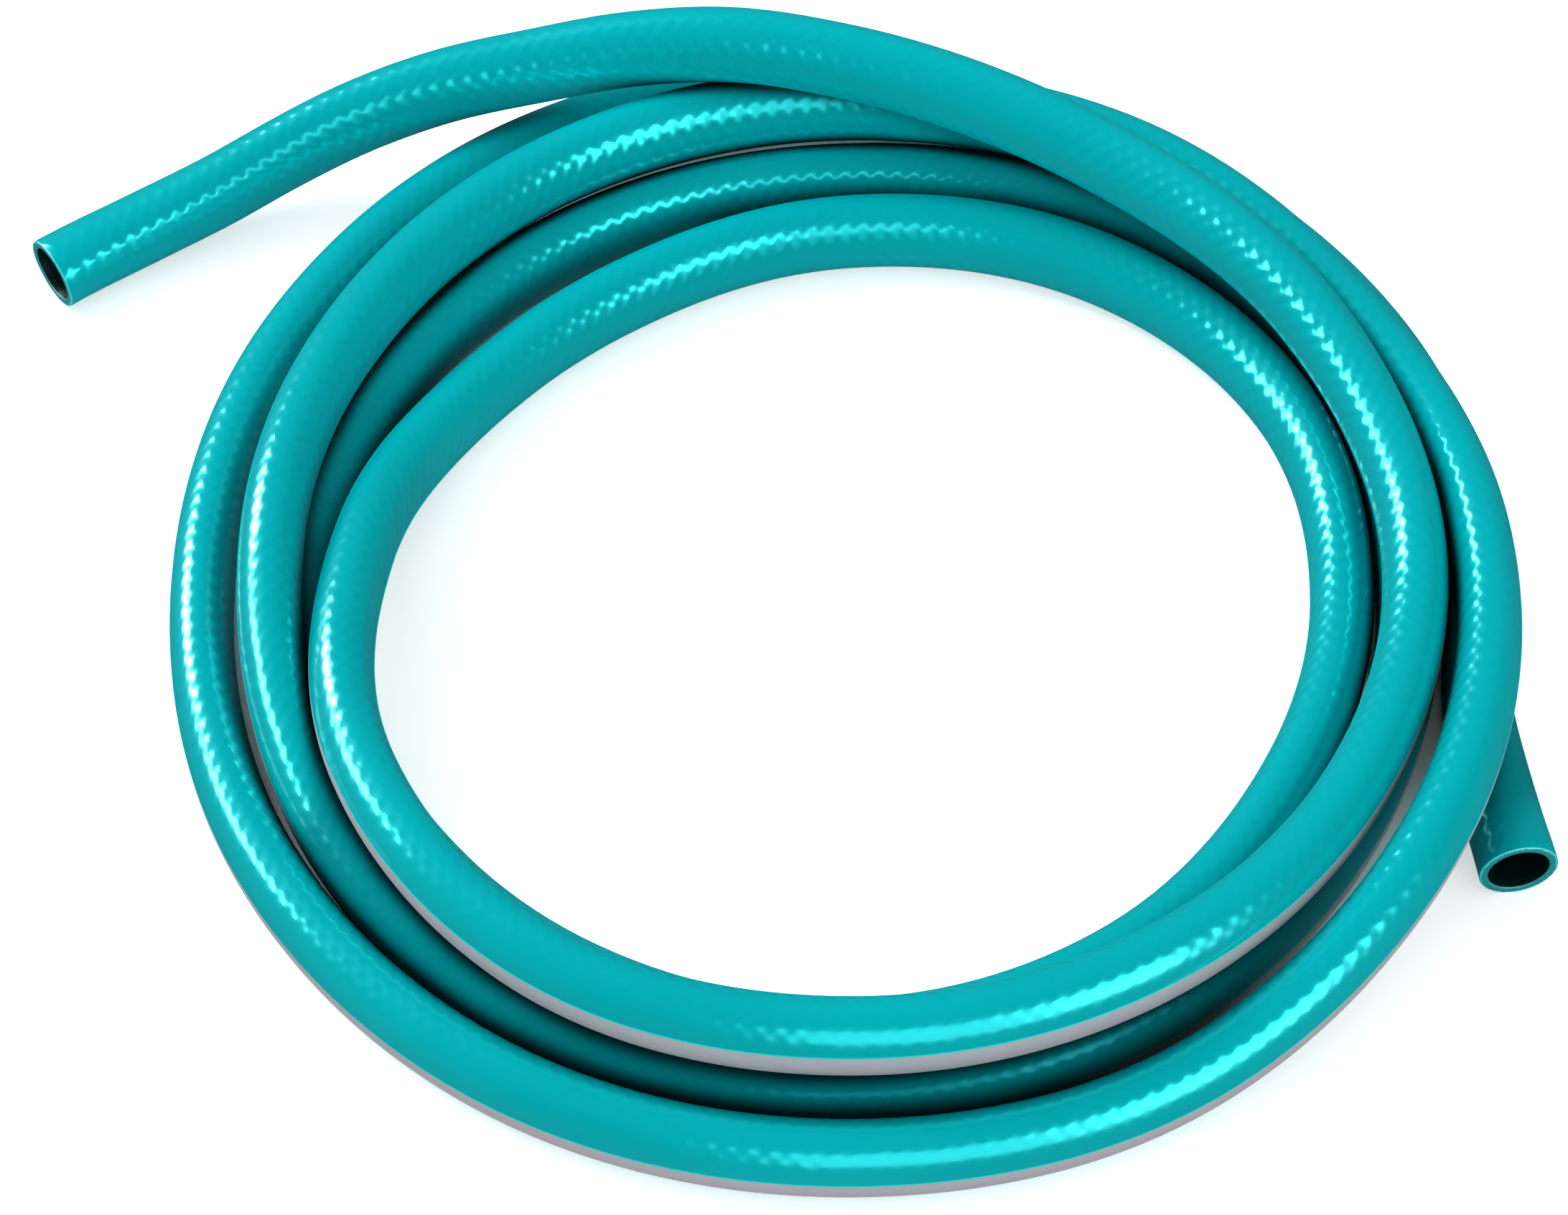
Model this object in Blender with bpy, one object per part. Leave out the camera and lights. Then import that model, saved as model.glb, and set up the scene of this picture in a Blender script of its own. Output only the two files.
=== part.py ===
"""A garden hose laid down in a loose coil: one hollow tube with two plain cut ends.

Metres, +Z up. The floor is z = 0, and the origin is the middle of the hose's footprint.
Places along the coil are clock angles: 0 is the far side (+Y), 90 the right side (+X), and
the hose is followed clockwise, seen from above, from end A to end B.
"""

import math

import bmesh
import bpy
import numpy as np

# The hose
BORE = 0.016
WALL = 0.0023
OUTER = BORE + 2 * WALL
ACROSS = 0.82  # a bent hose is narrower across its bend, as a share of OUTER
UPRIGHT = 1.18  # and taller upright
ROUNDED = 0.08  # the length over which a free end goes back to a round section

# The coil
INNER_RADIUS = 0.1205  # radius of the innermost lane's middle
CLOCK_STEP = 30.0  # one value in each row below for every hour of the clock
RING_STEP = 10.0  # clock angle between the rings of the coil's mesh
SIDES = 12

# How far out the middle of the hose lies, in hose diameters from the innermost lane, at 12, 1,
# 2 and so on to 11 o'clock. Each row is one turn.
LANES = [
    [1.58, 1.04, 1.00, 1.31, 1.41, 1.48, 1.50, 1.46, 1.04, 0.28, 0.06, 0.04],
    [0.41, 0.75, 0.82, 0.55, 0.41, 0.60, 0.77, 0.78, 0.79, 1.00, 1.12, 1.24],
    [1.37, 1.62, 1.66, 1.40, 1.35, 1.48, 1.61, 1.63, 1.60, 1.42, 1.46, 1.72],
    [1.88, 1.83, 1.77, 2.18, 2.50, 2.49, 2.46, 2.49, 2.42, 2.40, 2.70, 3.00],
    [3.00, 2.70, 2.51, 2.27],
]
# How far the hose is lifted off the floor by the turns below it, in hose diameters.
LEVELS = [
    [2.15, 1.86, 1.79, 1.34, 1.21, 1.20, 1.19, 1.20, 1.31, 1.00, 0.10, 0],
    [0, 0, 0, 0, 0, 0, 0, 0, 0, 0, 0, 0],
    [0, 0, 0, 0, 0, 0, 0, 0, 0.42, 1.14, 1.13, 0.98],
    [0.98, 1.18, 1.20, 1.21, 1.05, 0.11, 0, 0, 0, 0, 0, 0],
    [0, 0, 0, 0],
]
# The two free ends, as (clock angle, lane, level) points.
TAIL_A = [
    (-62.4, 6.22, 0),
    (-56.4, 5.61, 0.03),
    (-51.3, 5.13, 0.16),
    (-45.9, 4.71, 0.42),
    (-40.6, 4.28, 0.76),
    (-35.2, 3.80, 1.10),
    (-27.2, 3.10, 1.50),
    (-20.5, 2.60, 1.84),
    (-11.3, 2.04, 2.14),
]
TAIL_B = [
    (96.0, 2.24, 0),
    (102.4, 2.34, 0),
    (108.9, 2.71, 0),
    (113.3, 3.09, 0),
    (116.5, 3.44, 0),
]

HOSE_TEAL = (0.0, 0.42, 0.45, 1.0)
HOSE_ROUGHNESS = 0.25


def clear_scene():
    for obj in list(bpy.data.objects):
        bpy.data.objects.remove(obj)


def route_knots():
    """The chosen points from end A to end B, with clock angles that run on from turn to turn."""
    knots = list(TAIL_A)
    hour = 0
    for lanes, levels in zip(LANES, LEVELS):
        for lane, level in zip(lanes, levels):
            knots.append((hour * CLOCK_STEP, lane, level))
            hour += 1
    full_turns = 360.0 * (len(LANES) - 1)
    knots += [(angle + full_turns, lane, level) for angle, lane, level in TAIL_B]
    return np.array(knots)


def ring_angles(knots):
    """Clock angles of the rings: even steps round the coil, and the chosen points of the ends."""
    coil_end = knots[-len(TAIL_B) - 1, 0]
    steps = int(round(coil_end / RING_STEP))
    coil = [step * RING_STEP for step in range(steps + 1)]
    return np.concatenate([knots[: len(TAIL_A), 0], coil, knots[-len(TAIL_B) :, 0]])


def smooth(knots, angles):
    """Lane and level at the given angles, on a smooth curve through the knots."""
    at, values = knots[:, 0], knots[:, 1:]
    slopes = np.gradient(values, at, axis=0)
    left = np.clip(np.searchsorted(at, angles, side="right") - 1, 0, len(at) - 2)
    span = (at[left + 1] - at[left])[:, None]
    t = (angles - at[left])[:, None] / span
    start, end = values[left], values[left + 1]
    start_slope, end_slope = slopes[left] * span, slopes[left + 1] * span
    return (
        (2 * t**3 - 3 * t**2 + 1) * start
        + (t**3 - 2 * t**2 + t) * start_slope
        + (3 * t**2 - 2 * t**3) * end
        + (t**3 - t**2) * end_slope
    )


def centre_line():
    """Ring centres from end A to end B, and the two section scales of each ring."""
    knots = route_knots()
    angles = ring_angles(knots)
    lane, level = smooth(knots, angles).T
    turn = np.radians(angles)
    radius = INNER_RADIUS + lane * OUTER
    points = np.stack([radius * np.sin(turn), radius * np.cos(turn), 0 * turn], axis=1)
    along = np.concatenate([[0], np.cumsum(np.linalg.norm(np.diff(points, axis=0), axis=1))])
    bent = np.clip(np.minimum(along, along[-1] - along) / ROUNDED, 0, 1)
    across = 1 + (ACROSS - 1) * bent
    upright = 1 + (UPRIGHT - 1) * bent
    points[:, 2] = upright * OUTER / 2 + np.maximum(level, 0) * OUTER
    return points, across, upright


def section_axes(points):
    """For each ring, the level direction across the hose and the direction up its section."""
    along = np.gradient(points, axis=0)
    along /= np.linalg.norm(along, axis=1)[:, None]
    side = np.stack([along[:, 1], -along[:, 0], np.zeros(len(along))], axis=1)
    side /= np.linalg.norm(side, axis=1)[:, None]
    return side, np.cross(side, along)


def rings(diameter, points, across, upright):
    """Corner points of every ring of a tube of this diameter."""
    side, up = section_axes(points)
    turn = np.arange(SIDES) * 2 * math.pi / SIDES
    wide = np.outer(across, np.cos(turn)) * diameter / 2
    high = np.outer(upright, np.sin(turn)) * diameter / 2
    return points[:, None] + wide[:, :, None] * side[:, None] + high[:, :, None] * up[:, None]


def footprint_middle(corners):
    """Middle of the footprint, on the floor."""
    low, high = corners.min(axis=(0, 1)), corners.max(axis=(0, 1))
    return np.array([(low[0] + high[0]) / 2, (low[1] + high[1]) / 2, 0.0])


def add_wall(bm, corners, outward):
    """One wall of the tube through all its rings. Returns the vertices, ring by ring."""
    verts = [[bm.verts.new(corner) for corner in ring] for ring in corners]
    for ring, following in zip(verts, verts[1:]):
        for k in range(SIDES):
            j = (k + 1) % SIDES
            face = [ring[k], following[k], following[j], ring[j]]
            bm.faces.new(face if outward else face[::-1])
    return verts


def add_cut_end(bm, outer_ring, inner_ring, first):
    """The flat ring-shaped face that a straight cut leaves."""
    for k in range(SIDES):
        j = (k + 1) % SIDES
        face = [outer_ring[k], outer_ring[j], inner_ring[j], inner_ring[k]]
        bm.faces.new(face if first else face[::-1])


def make_material():
    material = bpy.data.materials.new("hose_pvc")
    material.use_nodes = True
    shader = material.node_tree.nodes["Principled BSDF"]
    shader.inputs["Base Color"].default_value = HOSE_TEAL
    shader.inputs["Roughness"].default_value = HOSE_ROUGHNESS
    shader.inputs["Metallic"].default_value = 0.0
    return material


def make_hose():
    points, across, upright = centre_line()
    outside = rings(OUTER, points, across, upright)
    inside = rings(BORE, points, across, upright)
    middle = footprint_middle(outside)
    bm = bmesh.new()
    outer_wall = add_wall(bm, outside - middle, outward=True)
    inner_wall = add_wall(bm, inside - middle, outward=False)
    add_cut_end(bm, outer_wall[0], inner_wall[0], first=True)
    add_cut_end(bm, outer_wall[-1], inner_wall[-1], first=False)
    mesh = bpy.data.meshes.new("hose")
    bm.to_mesh(mesh)
    bm.free()
    mesh.shade_smooth()
    mesh.set_sharp_from_angle(angle=math.radians(40))
    mesh.materials.append(make_material())
    hose = bpy.data.objects.new("hose", mesh)
    bpy.context.scene.collection.objects.link(hose)
    return hose


def main():
    clear_scene()
    make_hose()


main()
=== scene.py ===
"""A teal garden hose in a loose coil: the CAD hose with braid relief, a pale stripe and cut ends.

Metres, +Z up, in the frame of the CAD model. Places along the coil are clock angles: 0 is the far
side (+Y), 90 the right side (+X), and the hose is followed clockwise from end A to end B.
"""

import math

import bmesh
import bpy
import numpy as np
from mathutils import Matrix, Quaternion, Vector

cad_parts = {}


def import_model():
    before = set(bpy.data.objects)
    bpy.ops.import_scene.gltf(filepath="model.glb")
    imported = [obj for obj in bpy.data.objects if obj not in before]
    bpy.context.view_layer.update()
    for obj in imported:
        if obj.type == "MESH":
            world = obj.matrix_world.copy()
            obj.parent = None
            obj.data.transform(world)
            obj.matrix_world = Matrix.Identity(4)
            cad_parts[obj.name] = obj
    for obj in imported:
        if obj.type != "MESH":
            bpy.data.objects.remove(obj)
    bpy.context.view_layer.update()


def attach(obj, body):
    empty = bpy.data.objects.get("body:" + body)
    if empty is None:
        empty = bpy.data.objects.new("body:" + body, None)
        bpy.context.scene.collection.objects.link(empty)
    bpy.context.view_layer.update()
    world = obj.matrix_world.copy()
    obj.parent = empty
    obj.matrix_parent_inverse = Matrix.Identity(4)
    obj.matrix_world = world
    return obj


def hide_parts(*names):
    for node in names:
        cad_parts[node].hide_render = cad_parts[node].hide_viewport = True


# The hose, as in the CAD model
BORE = 0.016
WALL = 0.0023
OUTER = BORE + 2 * WALL
ACROSS = 0.82  # a bent hose is narrower across its bend, as a share of OUTER
UPRIGHT = 1.18  # and taller upright
ROUNDED = 0.08  # the length over which a free end goes back to a round section

# The coil's route, as in the CAD model: lanes and levels are in hose diameters, one value for
# every hour of the clock, one row for every turn
INNER_RADIUS = 0.1205
CLOCK_STEP = 30.0
LANES = [
    [1.58, 1.04, 1.00, 1.31, 1.41, 1.48, 1.50, 1.46, 1.04, 0.28, 0.06, 0.04],
    [0.41, 0.75, 0.82, 0.55, 0.41, 0.60, 0.77, 0.78, 0.79, 1.00, 1.12, 1.24],
    [1.37, 1.62, 1.66, 1.40, 1.35, 1.48, 1.61, 1.63, 1.60, 1.42, 1.46, 1.72],
    [1.88, 1.83, 1.77, 2.18, 2.50, 2.49, 2.46, 2.49, 2.42, 2.40, 2.70, 3.00],
    [3.00, 2.70, 2.51, 2.27],
]
LEVELS = [
    [2.15, 1.86, 1.79, 1.34, 1.21, 1.20, 1.19, 1.20, 1.31, 1.00, 0.10, 0],
    [0, 0, 0, 0, 0, 0, 0, 0, 0, 0, 0, 0],
    [0, 0, 0, 0, 0, 0, 0, 0, 0.42, 1.14, 1.13, 0.98],
    [0.98, 1.18, 1.20, 1.21, 1.05, 0.11, 0, 0, 0, 0, 0, 0],
    [0, 0, 0, 0],
]
TAIL_A = [
    (-62.4, 6.22, 0),
    (-56.4, 5.61, 0.03),
    (-51.3, 5.13, 0.16),
    (-45.9, 4.71, 0.42),
    (-40.6, 4.28, 0.76),
    (-35.2, 3.80, 1.10),
    (-27.2, 3.10, 1.50),
    (-20.5, 2.60, 1.84),
    (-11.3, 2.04, 2.14),
]
TAIL_B = [
    (96.0, 2.24, 0),
    (102.4, 2.34, 0),
    (108.9, 2.71, 0),
    (113.3, 3.09, 0),
    (116.5, 3.44, 0),
]
FOOTPRINT_MIDDLE = (-0.022273, 0.005559, 0.0)  # of the coil as laid out round its own centre

# The dressed mesh
ROUTE_STEP = 1.0  # clock angle between the points that the rings are placed along
RING_STEP = 0.0029
SIDES = 40
BORE_RING_EVERY = 12
SHADE_STEPS = (0.001, 0.003, 0.006, 0.010, 0.015)  # how far off the skin another turn is felt
HOOD_STEPS = (0.004, 0.009, 0.014, 0.019, 0.024)  # how far overhead another turn shades the skin
HOOD_LEAN = 0.6  # how far that direction leans off straight up
HOOD_SHADE = 0.37
HOOD_LOW = 0.3  # skin that faces outwards and rises less than this is shaded from outside too
NEAR_REACH = 2.4  # hose diameters within which turns can shade each other
OWN_LENGTH = 0.06  # rings closer than this along the hose don't shade each other
SHADE_BLURS = 3
RIM_ROUND = 0.00025  # radius of the cut ends' edges

# The braid under the skin shows as pillows in offset rows
BRAID_PITCH = 0.00505  # along the hose
BRAID_ROWS = 10  # pillows round the hose
BRAID_DEPTH = 0.00018
BRAID_SOFT_SIDE = 200.0  # degrees round the section where the relief is weakest, near the stripe
BRAID_SOFTEST = 0.22  # and how much of it is left there
BRAID_ON_STRIPE = 0.15  # and how much of that shows through the stripe
WAVE_SCALE = 70.0  # of the skin's slow unevenness
WAVE_DEPTH = 0.0004

# The stripe, in degrees round the section from the side that faces the coil's middle, through up
STRIPE_TOP = 165.5
STRIPE_BOTTOM = 214.5
STRIPE_TWIST = 3.4  # degrees that it winds down for every metre of hose
STRIPE_SOFT = 1.2  # degrees over which its edges fade
STRIPE_EDGE = 2.5  # degrees of the painted highlight along each edge

# Colours, as linear light
TEAL = (0.0, 0.46, 0.515)
TEAL_DEEP = (0.0, 0.42, 0.47)
# painted sheen: a lighter teal along the edges that face away from the camera
TEAL_PAINTED_SHEEN = (0.0, 0.60, 0.64)
# painted shade: the colour the skin darkens to where another turn lies close or overhead
SHADE = (0.0, 0.02, 0.024)
STRIPE_GREY = (0.50, 0.455, 0.50)
# painted highlight along both edges of the stripe
STRIPE_EDGE_HIGHLIGHT = (0.02, 0.78, 0.80)
SHEEN_TINT = (0.06, 1.0, 1.0, 1.0)  # almost no red
CUT_TEAL = (0.0, 0.30, 0.32)
# painted highlight along the cut face's outer edge
CUT_EDGE_HIGHLIGHT = (0.04, 0.72, 0.74)
# painted shade: the bore coloured nearly black
BORE_PAINTED_SHADE = (0.0, 0.012, 0.014)
FLOOR_WHITE = (0.95, 0.95, 0.95)
FLOOR_GLOW = 0.52  # how far the white table is overexposed, seen by the camera only
SHADE_RING = (0.136, 0.140, 0.166, 0.170)  # radii of the ring under the coil that isn't overexposed, a painted shade that keeps the floor between the turns dark
SHADE_RING_WIDER = 0.010  # its outer edge lies this much further out on the far side
SHADE_RING_FAR = (0.09, 0.12)  # y over which it widens

# The finishes. Each row of four is a smooth step: from, to, value before it and value after it.
SKIN_ROUGHNESS = 0.21
STRIPE_ROUGHNESS = 0.42
SKIN_IOR = 1.6
CLOUD_SCALE = 9.0  # of the slow change between the two teals
CLOUD_STEP = (0.3, 0.7, 0.0, 1.0)
PAINTED_SHEEN_STEP = (0.80, 1.0, 0.0, 0.8)  # share of the painted sheen along the edges, by how far the skin faces away
GLOSS_STEP = (0.55, 0.90, 1.0, 0.0)  # the sheen fades as the skin faces away
GLOSS_SHADE_STEP = (0.1, 0.5, 1.0, 0.05)  # and where another turn shades it
DARK_STEP = (0.05, 0.75, 0.0, 0.97)  # how far the painted shade darkens the skin
BORE_ROUGHNESS = 0.45
BORE_SPECULAR = 0.08
BORE_GRAIN = (300.0, 0.0002)  # noise scale and bump distance
CUT_ROUGHNESS = 0.4
CUT_GRAIN = (1200.0, 0.0003)
CUT_GRAIN_DETAIL = 4.0
CUT_RAGGED = (900.0, 0.5)  # noise scale and spread of the painted highlight line on the cut face
CUT_EDGE_STEP = (0.70, 0.85, 0.0, 1.0)  # where on the cut face, from bore to outside, it starts
FLOOR_ROUGHNESS = 0.9
FLOOR_HALF = 6.0  # half the floor's side

# Softboxes: name, compass angle from the far side towards the right, height angle, distance,
# width, height, roll, power, and whether it only lights or only shows in the sheen
LIGHTS = [
    ("back_left_softbox", -60.0, 50.0, 2.2, 1.2, 1.0, 0.0, 27.0, "lights"),
    ("front_right_softbox", 155.0, 16.0, 2.2, 1.9, 1.1, 0.0, 11.0, "lights"),
    ("front_band", 155.0, 12.0, 2.2, 2.8, 1.4, 0.0, 50.0, "sheen"),
    ("front_core", 138.0, 15.0, 2.15, 0.8, 1.2, 0.0, 24.0, "sheen"),
    ("left_box", -58.0, 21.0, 2.15, 0.50, 0.85, 20.0, 75.0, "sheen"),
    ("far_left_box", -83.0, 19.0, 2.15, 0.75, 0.6, 20.0, 42.0, "sheen"),
]
SKY_ZENITH = 0.80
SKY_HORIZON = 0.32
SKY_IN_SHEEN = 0.12  # the studio's walls are dark in the hose's sheen

# The camera
CAMERA_AIM = (0.00635, -0.01205, 0.01697)
CAMERA_DISTANCE = 1.2966
CAMERA_TILT = 37.0  # degrees off straight down
LENS = 113.08
SENSOR = 36.0


def add_camera():
    data = bpy.data.cameras.new("camera")
    data.sensor_width = SENSOR
    data.lens = LENS
    camera = bpy.data.objects.new("camera", data)
    tilt = math.radians(CAMERA_TILT)
    back = Vector((0, -math.sin(tilt), math.cos(tilt))) * CAMERA_DISTANCE
    camera.location = Vector(CAMERA_AIM) + back
    camera.rotation_euler = (tilt, 0, 0)
    bpy.context.scene.collection.objects.link(camera)
    bpy.context.scene.camera = camera


def route_knots():
    """The chosen points from end A to end B, with clock angles that run on from turn to turn."""
    knots = list(TAIL_A)
    hour = 0
    for lanes, levels in zip(LANES, LEVELS):
        for lane, level in zip(lanes, levels):
            knots.append((hour * CLOCK_STEP, lane, level))
            hour += 1
    full_turns = 360.0 * (len(LANES) - 1)
    knots += [(angle + full_turns, lane, level) for angle, lane, level in TAIL_B]
    return np.array(knots)


def smooth(knots, angles):
    """Lane and level at the given angles, on a smooth curve through the knots."""
    at, values = knots[:, 0], knots[:, 1:]
    slopes = np.gradient(values, at, axis=0)
    left = np.clip(np.searchsorted(at, angles, side="right") - 1, 0, len(at) - 2)
    span = (at[left + 1] - at[left])[:, None]
    t = (angles - at[left])[:, None] / span
    start, end = values[left], values[left + 1]
    start_slope, end_slope = slopes[left] * span, slopes[left + 1] * span
    return (
        (2 * t**3 - 3 * t**2 + 1) * start
        + (t**3 - 2 * t**2 + t) * start_slope
        + (3 * t**2 - 2 * t**3) * end
        + (t**3 - t**2) * end_slope
    )


def distances(points):
    steps = np.linalg.norm(np.diff(points, axis=0), axis=1)
    return np.concatenate([[0], np.cumsum(steps)])


def centre_line():
    """Ring centres at equal steps, the two section scales of each ring, and how far along it is."""
    knots = route_knots()
    count = int(round((knots[-1, 0] - knots[0, 0]) / ROUTE_STEP)) + 1
    angles = np.linspace(knots[0, 0], knots[-1, 0], count)
    lane, level = smooth(knots, angles).T
    turn = np.radians(angles)
    radius = INNER_RADIUS + lane * OUTER
    flat = np.stack([radius * np.sin(turn), radius * np.cos(turn), 0 * turn], axis=1)
    along = distances(flat)
    bent = np.clip(np.minimum(along, along[-1] - along) / ROUNDED, 0, 1)
    across = 1 + (ACROSS - 1) * bent
    upright = 1 + (UPRIGHT - 1) * bent
    flat[:, 2] = upright * OUTER / 2 + np.maximum(level, 0) * OUTER
    route = flat - np.array(FOOTPRINT_MIDDLE)
    along = distances(route)
    at = np.linspace(0, along[-1], int(round(along[-1] / RING_STEP)) + 1)
    points = np.stack([np.interp(at, along, route[:, k]) for k in range(3)], axis=1)
    return points, np.interp(at, along, across), np.interp(at, along, upright), at


def section_axes(points):
    """For each ring, the level direction across the hose and the direction up its section."""
    along = np.gradient(points, axis=0)
    along /= np.linalg.norm(along, axis=1)[:, None]
    side = np.stack([along[:, 1], -along[:, 0], np.zeros(len(along))], axis=1)
    side /= np.linalg.norm(side, axis=1)[:, None]
    return side, np.cross(side, along)


def rings(diameter, points, across, upright):
    """Corner points of every ring of a tube of this diameter."""
    side, up = section_axes(points)
    turn = np.arange(SIDES) * 2 * math.pi / SIDES
    wide = np.outer(across, np.cos(turn)) * diameter / 2
    high = np.outer(upright, np.sin(turn)) * diameter / 2
    return points[:, None] + wide[:, :, None] * side[:, None] + high[:, :, None] * up[:, None]


def covered(spots, near, half_wide, half_high):
    """Whether each spot lies inside one of the near rings' slices of hose."""
    centres, side, up = near
    off = spots[:, None] - centres
    wide = np.einsum("pqk,qk->pq", off, side) / half_wide
    high = np.einsum("pqk,qk->pq", off, up) / half_high
    along = np.abs(np.einsum("pqk,qk->pq", off, np.cross(side, up)))
    return ((wide**2 + high**2 < 1) & (along < RING_STEP)).any(axis=1)


def shade_values(points, across, upright, corners):
    """For each corner, the painted shade: 0 where the skin is open and up to 1 where another turn
    lies against it.
    """
    side, up = section_axes(points)
    outward = corners - points[:, None]
    outward /= np.linalg.norm(outward, axis=2)[:, :, None]
    half_wide = across * OUTER / 2
    half_high = upright * OUTER / 2
    own = int(OWN_LENGTH / RING_STEP)
    shade = np.zeros(corners.shape[:2])
    for n, centre in enumerate(points):
        near = np.flatnonzero(np.linalg.norm(points - centre, axis=1) < NEAR_REACH * OUTER)
        near = near[np.abs(near - n) > own]
        if len(near) == 0:
            continue
        others = (points[near], side[near], up[near])
        halves = (half_wide[near], half_high[near])
        for k, step in enumerate(SHADE_STEPS):
            hit = covered(corners[n] + outward[n] * step, others, *halves)
            shade[n] = np.maximum(shade[n], hit * (1 - k / len(SHADE_STEPS)))
        low = (outward[n] @ side[n] < 0) & (outward[n, :, 2] < HOOD_LOW)
        for lean, where in ((HOOD_LEAN, True), (-HOOD_LEAN, low)):
            overhead = np.array([0.0, 0.0, 1.0]) + lean * side[n]
            for step in HOOD_STEPS:
                hit = covered(corners[n] + overhead * step, others, *halves) & where
                shade[n] = np.maximum(shade[n], hit * HOOD_SHADE)
    return soft_blur(shade)


def soft_blur(values):
    """Averages each value with its neighbours round the hose and along it."""
    for _ in range(SHADE_BLURS):
        around = (np.roll(values, 1, axis=1) + values + np.roll(values, -1, axis=1)) / 3
        padded = np.pad(around, ((1, 1), (0, 0)), mode="edge")
        values = (padded[:-2] + padded[1:-1] + padded[2:]) / 3
    return values


def add_strip(bm, uv, one, other, u_one, u_other, material):
    """Faces between two rings of vertices, with the distance along and round the hose as UV."""
    for k in range(SIDES):
        j = (k + 1) % SIDES
        face = bm.faces.new([one[k], other[k], other[j], one[j]])
        face.material_index = material
        face.smooth = True
        round_uv = (k / SIDES, k / SIDES, (k + 1) / SIDES, (k + 1) / SIDES)
        for loop, u, v in zip(face.loops, (u_one, u_other, u_other, u_one), round_uv):
            loop[uv].uv = (u, v)


def hose_mesh():
    """The hose as one closed surface: outer wall, cut end, bore, cut end."""
    points, across, upright, at = centre_line()
    outside = rings(OUTER, points, across, upright)
    inside = rings(BORE, points, across, upright)
    outer_rim = rings(OUTER - 2 * RIM_ROUND, points, across, upright)
    inner_rim = rings(BORE + 2 * RIM_ROUND, points, across, upright)
    along = np.gradient(points, axis=0)
    along /= np.linalg.norm(along, axis=1)[:, None]
    outside[0] += along[0] * RIM_ROUND
    outside[-1] -= along[-1] * RIM_ROUND
    inside[0] += along[0] * RIM_ROUND
    inside[-1] -= along[-1] * RIM_ROUND

    bm = bmesh.new()
    uv = bm.loops.layers.uv.new("hose_uv")

    def ring_of(corners):
        return [bm.verts.new(corner) for corner in corners]

    last = len(points) - 1
    bore_rings = sorted(set(range(0, last, BORE_RING_EVERY)) | {1, last - 1, last})
    wall = [(ring_of(outside[n]), at[n]) for n in range(last + 1)]
    bore = [(ring_of(inside[n]), at[n]) for n in bore_rings]
    rims = {
        0: (ring_of(outer_rim[0]), ring_of(inner_rim[0])),
        last: (ring_of(outer_rim[last]), ring_of(inner_rim[last])),
    }
    for (one, u_one), (other, u_other) in zip(wall, wall[1:]):
        add_strip(bm, uv, one, other, u_one, u_other, 0)
    for (one, u_one), (other, u_other) in zip(bore, bore[1:]):
        add_strip(bm, uv, other, one, u_other, u_one, 1)
    rim_out, rim_in = rims[0]
    for one, other, start, end in (
        (bore[0][0], rim_in, 0.0, 0.1),
        (rim_in, rim_out, 0.1, 0.9),
        (rim_out, wall[0][0], 0.9, 1.0),
    ):
        add_strip(bm, uv, one, other, start, end, 2)
    rim_out, rim_in = rims[last]
    for one, other, start, end in (
        (wall[-1][0], rim_out, 1.0, 0.9),
        (rim_out, rim_in, 0.9, 0.1),
        (rim_in, bore[-1][0], 0.1, 0.0),
    ):
        add_strip(bm, uv, one, other, start, end, 2)
    mesh = bpy.data.meshes.new("garden_hose")
    bm.to_mesh(mesh)
    bm.free()
    shade = np.zeros(len(mesh.vertices))
    shade[: (last + 1) * SIDES] = shade_values(points, across, upright, outside).ravel()
    layer = mesh.attributes.new("shade", "FLOAT", "POINT")
    layer.data.foreach_set("value", shade)
    return mesh, points, at[-1]


def link(tree, value, socket):
    """Connects a socket to another, or sets a plain value."""
    if isinstance(value, bpy.types.NodeSocket):
        tree.links.new(value, socket)
    else:
        socket.default_value = value


def maths(tree, operation, *values):
    node = tree.nodes.new("ShaderNodeMath")
    node.operation = operation
    for value, socket in zip(values, node.inputs):
        link(tree, value, socket)
    return node.outputs[0]


def ramp(tree, value, start, end, low=0.0, high=1.0):
    """A smooth step from low to high as the value goes from start to end."""
    node = tree.nodes.new("ShaderNodeMapRange")
    node.interpolation_type = "SMOOTHSTEP"
    for name, setting in (
        ("Value", value),
        ("From Min", start),
        ("From Max", end),
        ("To Min", low),
        ("To Max", high),
    ):
        link(tree, setting, node.inputs[name])
    return node.outputs["Result"]


def mixed(tree, factor, one, other):
    """A colour between two colours."""
    node = tree.nodes.new("ShaderNodeMix")
    node.data_type = "RGBA"
    sockets = (node.inputs[0], node.inputs[6], node.inputs[7])
    for value, socket in zip((factor, one, other), sockets):
        link(tree, (*value, 1.0) if isinstance(value, tuple) else value, socket)
    return node.outputs[2]


def noise(tree, scale, detail=2.0):
    """Noise in the object's own coordinates."""
    coordinates = tree.nodes.new("ShaderNodeTexCoord")
    node = tree.nodes.new("ShaderNodeTexNoise")
    node.inputs["Scale"].default_value = scale
    node.inputs["Detail"].default_value = detail
    tree.links.new(coordinates.outputs["Object"], node.inputs["Vector"])
    return node.outputs["Fac"]


def bumped(tree, height, distance, normal=None):
    node = tree.nodes.new("ShaderNodeBump")
    node.inputs["Distance"].default_value = distance
    tree.links.new(height, node.inputs["Height"])
    if normal is not None:
        tree.links.new(normal, node.inputs["Normal"])
    return node.outputs["Normal"]


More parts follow.
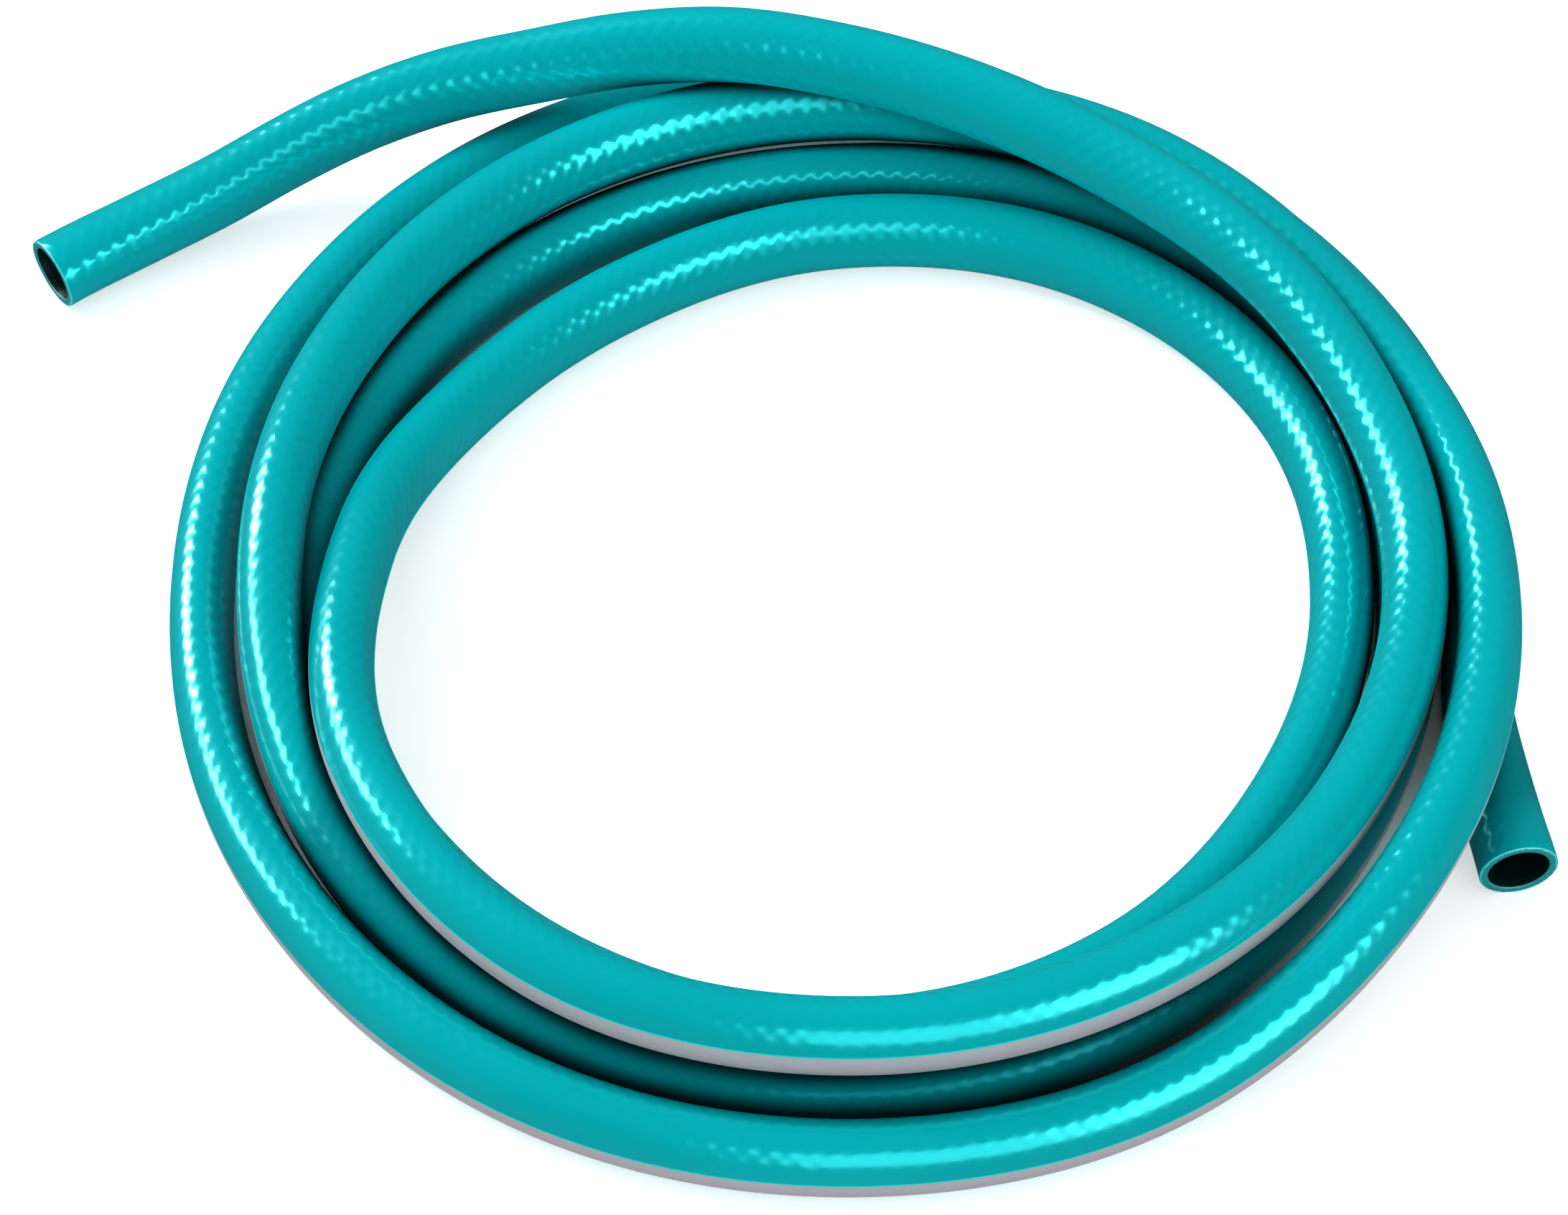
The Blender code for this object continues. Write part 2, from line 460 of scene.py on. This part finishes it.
def new_group(name, outputs):
    """A shader node group with one UV input and value outputs. Returns it, u, v and its end."""
    group = bpy.data.node_groups.new(name, "ShaderNodeTree")
    group.interface.new_socket(name="UV", in_out="INPUT", socket_type="NodeSocketVector")
    for output in outputs:
        group.interface.new_socket(name=output, in_out="OUTPUT", socket_type="NodeSocketFloat")
    start = group.nodes.new("NodeGroupInput")
    split = group.nodes.new("ShaderNodeSeparateXYZ")
    group.links.new(start.outputs["UV"], split.inputs["Vector"])
    end = group.nodes.new("NodeGroupOutput")
    return group, split.outputs["X"], split.outputs["Y"], end


def braid_group():
    """Pillows of skin between the crossing yarns, in offset rows and weaker near the stripe."""
    group, along, around, end = new_group("braid_pillows", ["Height"])
    waves = []
    for value, turns in ((along, 2 * math.pi / BRAID_PITCH), (around, 2 * math.pi * BRAID_ROWS)):
        waves.append(maths(group, "COSINE", maths(group, "MULTIPLY", value, turns)))
    product = maths(group, "MULTIPLY", *waves)
    pillow = maths(group, "MULTIPLY_ADD", product, 0.5, 0.5)
    from_soft = maths(group, "MULTIPLY_ADD", around, 2 * math.pi, -math.radians(BRAID_SOFT_SIDE))
    half = (1 - BRAID_SOFTEST) / 2
    share = maths(group, "MULTIPLY_ADD", maths(group, "COSINE", from_soft), -half, 1 - half)
    link(group, maths(group, "MULTIPLY", pillow, share), end.inputs["Height"])
    return group


def stripe_group():
    """The band of the stripe, and the painted highlight lines along both of its edges."""
    group, along, around, end = new_group("stripe_band", ["Band", "Edge"])
    angle = maths(group, "MULTIPLY", around, 360.0)
    middle = (STRIPE_TOP + STRIPE_BOTTOM) / 2
    half = (STRIPE_BOTTOM - STRIPE_TOP) / 2
    wound = maths(group, "MULTIPLY_ADD", along, STRIPE_TWIST, middle)
    off = maths(group, "ABSOLUTE", maths(group, "SUBTRACT", angle, wound))
    link(group, ramp(group, off, half - STRIPE_SOFT, half, 1.0, 0.0), end.inputs["Band"])
    inside = ramp(group, off, half - STRIPE_SOFT, half)
    outside = ramp(group, off, half + STRIPE_EDGE - STRIPE_SOFT, half + STRIPE_EDGE, 1.0, 0.0)
    link(group, maths(group, "MULTIPLY", inside, outside), end.inputs["Edge"])
    return group


def new_material(name):
    material = bpy.data.materials.new(name)
    material.use_nodes = True
    tree = material.node_tree
    return material, tree, tree.nodes["Principled BSDF"]


def marks(tree, group):
    """The outputs of a group, driven by the hose's own UV."""
    uv = tree.nodes.new("ShaderNodeUVMap")
    uv.uv_map = "hose_uv"
    node = tree.nodes.new("ShaderNodeGroup")
    node.node_tree = group
    tree.links.new(uv.outputs["UV"], node.inputs["UV"])
    return node.outputs


def outer_material():
    """Glossy teal PVC over the braid, with the flat stripe; painted shade where another turn is
    near, a painted sheen along the edges and painted highlights along the stripe's edges.
    """
    material, tree, shader = new_material("hose_pvc_outer")
    pillow = marks(tree, braid_group())["Height"]
    stripe = marks(tree, stripe_group())
    cloud = noise(tree, CLOUD_SCALE)
    teal = mixed(tree, ramp(tree, cloud, *CLOUD_STEP), TEAL_DEEP, TEAL)
    facing = tree.nodes.new("ShaderNodeLayerWeight")
    facing.inputs["Blend"].default_value = 0.5
    # painted sheen: lighter teal where the skin faces away from the camera
    teal = mixed(tree, ramp(tree, facing.outputs["Facing"], *PAINTED_SHEEN_STEP), teal, TEAL_PAINTED_SHEEN)
    # painted highlight along both edges of the stripe
    teal = mixed(tree, stripe["Edge"], teal, STRIPE_EDGE_HIGHLIGHT)
    skin = mixed(tree, stripe["Band"], teal, STRIPE_GREY)
    shade = tree.nodes.new("ShaderNodeAttribute")
    shade.attribute_name = "shade"
    # painted shade in the base colour, from the baked shade attribute
    dark = ramp(tree, shade.outputs["Fac"], *DARK_STEP)
    link(tree, mixed(tree, dark, skin, SHADE), shader.inputs["Base Color"])
    roughness = ramp(tree, stripe["Band"], 0.0, 1.0, SKIN_ROUGHNESS, STRIPE_ROUGHNESS)
    link(tree, roughness, shader.inputs["Roughness"])
    gloss = ramp(tree, facing.outputs["Facing"], *GLOSS_STEP)
    gloss = maths(tree, "MULTIPLY", gloss, ramp(tree, shade.outputs["Fac"], *GLOSS_SHADE_STEP))
    link(tree, gloss, shader.inputs["Specular IOR Level"])
    shader.inputs["IOR"].default_value = SKIN_IOR
    shader.inputs["Specular Tint"].default_value = SHEEN_TINT
    left = ramp(tree, stripe["Band"], 0.0, 1.0, 1.0, BRAID_ON_STRIPE)
    height = maths(tree, "MULTIPLY", pillow, left)
    waves = bumped(tree, noise(tree, WAVE_SCALE), WAVE_DEPTH)
    link(tree, bumped(tree, height, BRAID_DEPTH, waves), shader.inputs["Normal"])
    return material


def bore_material():
    """The inner wall, painted nearly black as the shade inside the tube."""
    material, tree, shader = new_material("hose_pvc_bore")
    # painted shade: the bore coloured nearly black
    shader.inputs["Base Color"].default_value = (*BORE_PAINTED_SHADE, 1.0)
    shader.inputs["Roughness"].default_value = BORE_ROUGHNESS
    shader.inputs["Specular IOR Level"].default_value = BORE_SPECULAR
    grain, depth = BORE_GRAIN
    link(tree, bumped(tree, noise(tree, grain), depth), shader.inputs["Normal"])
    return material


def cut_material():
    """The cut face: knife marks, and a painted highlight, a pale ragged line where it meets the
    outer wall.
    """
    material, tree, shader = new_material("hose_pvc_cut")
    uv = tree.nodes.new("ShaderNodeUVMap")
    uv.uv_map = "hose_uv"
    split = tree.nodes.new("ShaderNodeSeparateXYZ")
    tree.links.new(uv.outputs["UV"], split.inputs["Vector"])
    scale, spread = CUT_RAGGED
    ragged = maths(tree, "MULTIPLY_ADD", noise(tree, scale), spread, -spread / 2)
    out = maths(tree, "ADD", split.outputs["X"], ragged)
    # painted highlight: a pale ragged line where the cut face meets the outer wall
    colour = mixed(tree, ramp(tree, out, *CUT_EDGE_STEP), CUT_TEAL, CUT_EDGE_HIGHLIGHT)
    link(tree, colour, shader.inputs["Base Color"])
    shader.inputs["Roughness"].default_value = CUT_ROUGHNESS
    grain, depth = CUT_GRAIN
    marked = bumped(tree, noise(tree, grain, CUT_GRAIN_DETAIL), depth)
    link(tree, marked, shader.inputs["Normal"])
    return material


def floor_material():
    """A plain white table, overexposed for the camera except in a painted shade ring under the
    coil.
    """
    material, tree, shader = new_material("floor_white")
    coordinates = tree.nodes.new("ShaderNodeTexCoord")
    centred = tree.nodes.new("ShaderNodeVectorMath")
    centred.operation = "ADD"
    centred.inputs[1].default_value = FOOTPRINT_MIDDLE
    tree.links.new(coordinates.outputs["Object"], centred.inputs[0])
    radius = tree.nodes.new("ShaderNodeVectorMath")
    radius.operation = "LENGTH"
    tree.links.new(centred.outputs["Vector"], radius.inputs[0])
    rise = ramp(tree, radius.outputs["Value"], SHADE_RING[0], SHADE_RING[1])
    split = tree.nodes.new("ShaderNodeSeparateXYZ")
    tree.links.new(coordinates.outputs["Object"], split.inputs["Vector"])
    wider = ramp(tree, split.outputs["Y"], *SHADE_RING_FAR, 0.0, SHADE_RING_WIDER)
    outer = maths(tree, "SUBTRACT", radius.outputs["Value"], wider)
    fall = ramp(tree, outer, SHADE_RING[2], SHADE_RING[3], 1.0, 0.0)
    # painted shade: the glow is left out in this ring so the floor between the turns stays dark
    ring = maths(tree, "MULTIPLY", rise, fall)
    shader.inputs["Base Color"].default_value = (*FLOOR_WHITE, 1.0)
    rays = tree.nodes.new("ShaderNodeLightPath")
    lit = maths(tree, "MULTIPLY", rays.outputs["Is Camera Ray"], maths(tree, "SUBTRACT", 1.0, ring))
    shader.inputs["Emission Color"].default_value = (1, 1, 1, 1)
    link(tree, maths(tree, "MULTIPLY", lit, FLOOR_GLOW), shader.inputs["Emission Strength"])
    shader.inputs["Roughness"].default_value = FLOOR_ROUGHNESS
    shader.inputs["Specular IOR Level"].default_value = 0.0
    return material


def add_hose():
    mesh, points, length = hose_mesh()
    for material in (outer_material(), bore_material(), cut_material()):
        mesh.materials.append(material)
    hose = bpy.data.objects.new("garden_hose", mesh)
    bpy.context.scene.collection.objects.link(hose)
    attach(hose, "root")
    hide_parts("hose")


def add_floor():
    mesh = bpy.data.meshes.new("floor")
    half = FLOOR_HALF
    corners = [(-half, -half, 0), (half, -half, 0), (half, half, 0), (-half, half, 0)]
    mesh.from_pydata(corners, [], [(0, 1, 2, 3)])
    mesh.materials.append(floor_material())
    floor = bpy.data.objects.new("floor", mesh)
    floor.visible_glossy = False
    bpy.context.scene.collection.objects.link(floor)


def add_softbox(name, compass, rise, distance, width, height, roll, power, use):
    """A softbox in the given direction from the coil, facing it and rolled about that line.

    It lights the hose or shows in its sheen, never both.
    """
    data = bpy.data.lights.new(name, "AREA")
    data.shape = "RECTANGLE"
    data.size = width
    data.size_y = height
    data.energy = power
    light = bpy.data.objects.new(name, data)
    level = math.cos(math.radians(rise))
    turn = math.radians(compass)
    towards = Vector((level * math.sin(turn), level * math.cos(turn), math.sin(math.radians(rise))))
    light.location = towards * distance
    facing = towards.to_track_quat("Z", "Y")
    light.rotation_euler = (facing @ Quaternion((0, 0, 1), math.radians(roll))).to_euler()
    light.visible_diffuse = use == "lights"
    light.visible_glossy = use == "sheen"
    bpy.context.scene.collection.objects.link(light)


def add_sky():
    """A white studio that is brightest overhead, and much dimmer in the hose's sheen."""
    world = bpy.data.worlds.new("studio")
    world.use_nodes = True
    tree = world.node_tree
    coordinates = tree.nodes.new("ShaderNodeTexCoord")
    split = tree.nodes.new("ShaderNodeSeparateXYZ")
    tree.links.new(coordinates.outputs["Generated"], split.inputs["Vector"])
    strength = ramp(tree, split.outputs["Z"], 0.0, 1.0, SKY_HORIZON, SKY_ZENITH)
    rays = tree.nodes.new("ShaderNodeLightPath")
    dim = maths(tree, "MULTIPLY_ADD", rays.outputs["Is Glossy Ray"], SKY_IN_SHEEN - 1.0, 1.0)
    strength = maths(tree, "MULTIPLY", strength, dim)
    background = tree.nodes["Background"]
    background.inputs["Color"].default_value = (1, 1, 1, 1)
    link(tree, strength, background.inputs["Strength"])
    bpy.context.scene.world = world


def add_lights():
    add_sky()
    for light in LIGHTS:
        add_softbox(*light)
    bpy.context.scene.view_settings.view_transform = "Standard"


def main():
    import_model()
    add_camera()
    add_hose()
    add_floor()
    add_lights()


main()
